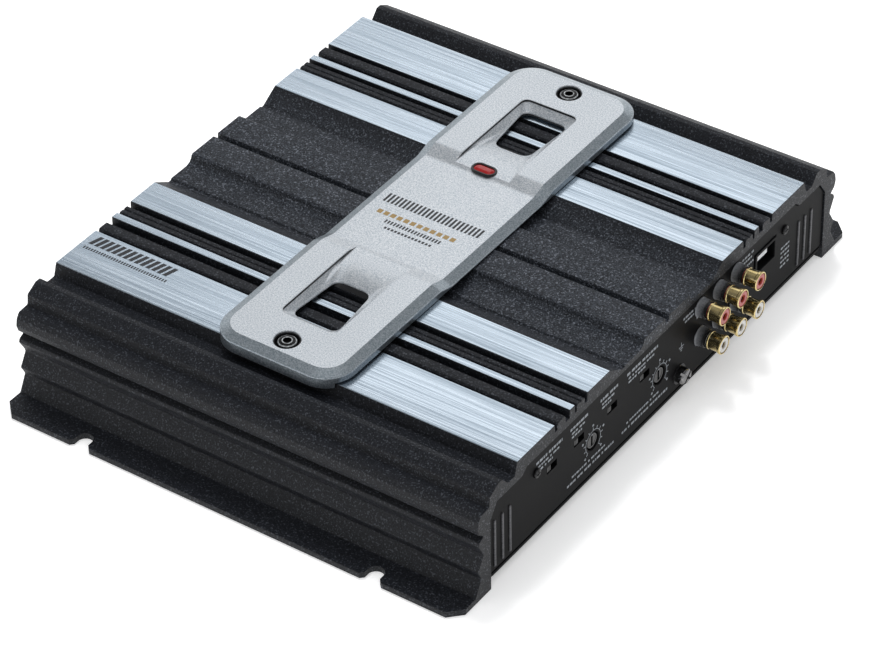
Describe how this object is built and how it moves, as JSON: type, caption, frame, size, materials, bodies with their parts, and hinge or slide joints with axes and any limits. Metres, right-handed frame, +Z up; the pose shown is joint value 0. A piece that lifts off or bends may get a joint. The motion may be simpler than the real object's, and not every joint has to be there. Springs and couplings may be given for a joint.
{
  "type": "car amplifier",
  "caption": "Ribbed black heatsink car amplifier with brushed strips, a silver cover plate, RCA inputs and trim controls at one end and screw terminals with fuses at the other.",
  "frame": {"origin": "centre of the whole amplifier's footprint, on the underside of the mounting flanges", "axes": "+Z up, +X along the extrusion towards the control panel and its RCA jacks, +Y across it towards the far mounting flange"},
  "size_m": [0.2124, 0.262, 0.05],
  "materials": {
    "black_shell": "black anodised, fine textured",
    "silver_paint": "satin silver paint",
    "steel": "zinc plated",
    "black_screw": "black zinc",
    "black_panel": "satin black",
    "black_plastic": "moulded",
    "gold": "gold plated",
    "red_lens": "clear red",
    "board_green": "solder mask",
    "copper_wire": "enamelled copper wire",
    "can_sleeve": "printed sleeve",
    "white_plastic": "moulded",
    "fuse_amber": "clear amber"
  },
  "bodies": {
    "root": {"heatsink_shell": "black_shell", "cover_plate": "silver_paint", "cover_screw_near": "black_screw", "cover_screw_far": "black_screw", "power_lens": "red_lens", "control_panel": "black_panel", "power_panel": "black_panel", "base_plate": "black_panel", "circuit_board": "board_green", "jack_block": "black_plastic", "gain_pot_a": "black_plastic", "gain_pot_b": "black_plastic", "input_socket": "black_plastic", "power_block": "black_plastic", "speaker_block": "black_plastic", "fuse_holder": "black_plastic", "supply_transformer": "copper_wire", "reservoir_capacitor_1": "can_sleeve", "reservoir_capacitor_2": "can_sleeve", "transistor_clamp_near": "steel", "transistor_clamp_far": "steel", "base_screw_front_near": "black_screw", "base_screw_front_far": "black_screw", "base_screw_rear_near": "black_screw", "base_screw_rear_far": "black_screw", "control_panel_screw_near": "black_screw", "control_panel_screw_far": "black_screw", "power_panel_screw_near": "black_screw", "power_panel_screw_far": "black_screw", "jack_shell_1": "gold", "jack_shell_2": "gold", "jack_shell_3": "gold", "jack_shell_4": "gold", "jack_shell_5": "gold", "jack_shell_6": "gold", "switch_body_1": "steel", "switch_body_2": "steel", "switch_body_3": "steel", "switch_body_4": "steel"},
    "gain_dial_a": {"gain_dial_a": "black_plastic"},
    "gain_dial_b": {"gain_dial_b": "black_plastic"},
    "switch_knob_1": {"switch_knob_1": "black_plastic"},
    "switch_knob_2": {"switch_knob_2": "black_plastic"},
    "switch_knob_3": {"switch_knob_3": "black_plastic"},
    "switch_knob_4": {"switch_knob_4": "black_plastic"},
    "ground_screw": {"ground_screw": "steel"},
    "speaker_screw_1": {"speaker_screw_1": "steel"},
    "speaker_screw_2": {"speaker_screw_2": "steel"},
    "speaker_screw_3": {"speaker_screw_3": "steel"},
    "speaker_screw_4": {"speaker_screw_4": "steel"},
    "speaker_screw_5": {"speaker_screw_5": "steel"},
    "speaker_screw_6": {"speaker_screw_6": "steel"},
    "speaker_screw_7": {"speaker_screw_7": "steel"},
    "speaker_screw_8": {"speaker_screw_8": "steel"},
    "power_screw_1": {"power_screw_1": "steel"},
    "power_screw_2": {"power_screw_2": "steel"},
    "power_screw_3": {"power_screw_3": "steel"},
    "fuse_1": {"fuse_1": "fuse_amber"},
    "fuse_2": {"fuse_2": "fuse_amber"}
  },
  "joints": [
    {"name": "gain_a_turn", "type": "hinge", "parent": "root", "child": "gain_dial_a", "pos_m": [0.0954, -0.0466, 0.0204], "axis": [1, 0, 0], "range_deg": [-140, 140]},
    {"name": "gain_b_turn", "type": "hinge", "parent": "root", "child": "gain_dial_b", "pos_m": [0.0954, -0.0034, 0.0204], "axis": [1, 0, 0], "range_deg": [-140, 140]},
    {"name": "switch_1_slide", "type": "slide", "parent": "root", "child": "switch_knob_1", "axis": [0, 1, 0], "range_m": [0, 0.003]},
    {"name": "switch_2_slide", "type": "slide", "parent": "root", "child": "switch_knob_2", "axis": [0, 1, 0], "range_m": [0, 0.003]},
    {"name": "switch_3_slide", "type": "slide", "parent": "root", "child": "switch_knob_3", "axis": [0, 1, 0], "range_m": [0, 0.003]},
    {"name": "switch_4_slide", "type": "slide", "parent": "root", "child": "switch_knob_4", "axis": [0, 1, 0], "range_m": [0, 0.003]},
    {"name": "ground_screw_turn", "type": "hinge", "parent": "root", "child": "ground_screw", "pos_m": [0.0961, 0.01, 0.012], "axis": [1, 0, 0], "range_deg": [0, 900]},
    {"name": "speaker_screw_1_turn", "type": "hinge", "parent": "root", "child": "speaker_screw_1", "pos_m": [-0.1009, -0.0829, 0.0231], "axis": [-1, 0, 0], "range_deg": [0, 900]},
    {"name": "speaker_screw_2_turn", "type": "hinge", "parent": "root", "child": "speaker_screw_2", "pos_m": [-0.1009, -0.0745, 0.0231], "axis": [-1, 0, 0], "range_deg": [0, 900]},
    {"name": "speaker_screw_3_turn", "type": "hinge", "parent": "root", "child": "speaker_screw_3", "pos_m": [-0.1009, -0.0661, 0.0231], "axis": [-1, 0, 0], "range_deg": [0, 900]},
    {"name": "speaker_screw_4_turn", "type": "hinge", "parent": "root", "child": "speaker_screw_4", "pos_m": [-0.1009, -0.0577, 0.0231], "axis": [-1, 0, 0], "range_deg": [0, 900]},
    {"name": "speaker_screw_5_turn", "type": "hinge", "parent": "root", "child": "speaker_screw_5", "pos_m": [-0.1009, -0.0493, 0.0231], "axis": [-1, 0, 0], "range_deg": [0, 900]},
    {"name": "speaker_screw_6_turn", "type": "hinge", "parent": "root", "child": "speaker_screw_6", "pos_m": [-0.1009, -0.0409, 0.0231], "axis": [-1, 0, 0], "range_deg": [0, 900]},
    {"name": "speaker_screw_7_turn", "type": "hinge", "parent": "root", "child": "speaker_screw_7", "pos_m": [-0.1009, -0.0325, 0.0231], "axis": [-1, 0, 0], "range_deg": [0, 900]},
    {"name": "speaker_screw_8_turn", "type": "hinge", "parent": "root", "child": "speaker_screw_8", "pos_m": [-0.1009, -0.0241, 0.0231], "axis": [-1, 0, 0], "range_deg": [0, 900]},
    {"name": "power_screw_1_turn", "type": "hinge", "parent": "root", "child": "power_screw_1", "pos_m": [-0.1009, 0.0453, 0.0209], "axis": [-1, 0, 0], "range_deg": [0, 900]},
    {"name": "power_screw_2_turn", "type": "hinge", "parent": "root", "child": "power_screw_2", "pos_m": [-0.1009, 0.0581, 0.0209], "axis": [-1, 0, 0], "range_deg": [0, 900]},
    {"name": "power_screw_3_turn", "type": "hinge", "parent": "root", "child": "power_screw_3", "pos_m": [-0.1009, 0.0709, 0.0209], "axis": [-1, 0, 0], "range_deg": [0, 900]},
    {"name": "fuse_1_pull", "type": "slide", "parent": "root", "child": "fuse_1", "axis": [-1, 0, 0], "range_m": [0, 0.016]},
    {"name": "fuse_2_pull", "type": "slide", "parent": "root", "child": "fuse_2", "axis": [-1, 0, 0], "range_m": [0, 0.016]}
  ]
}
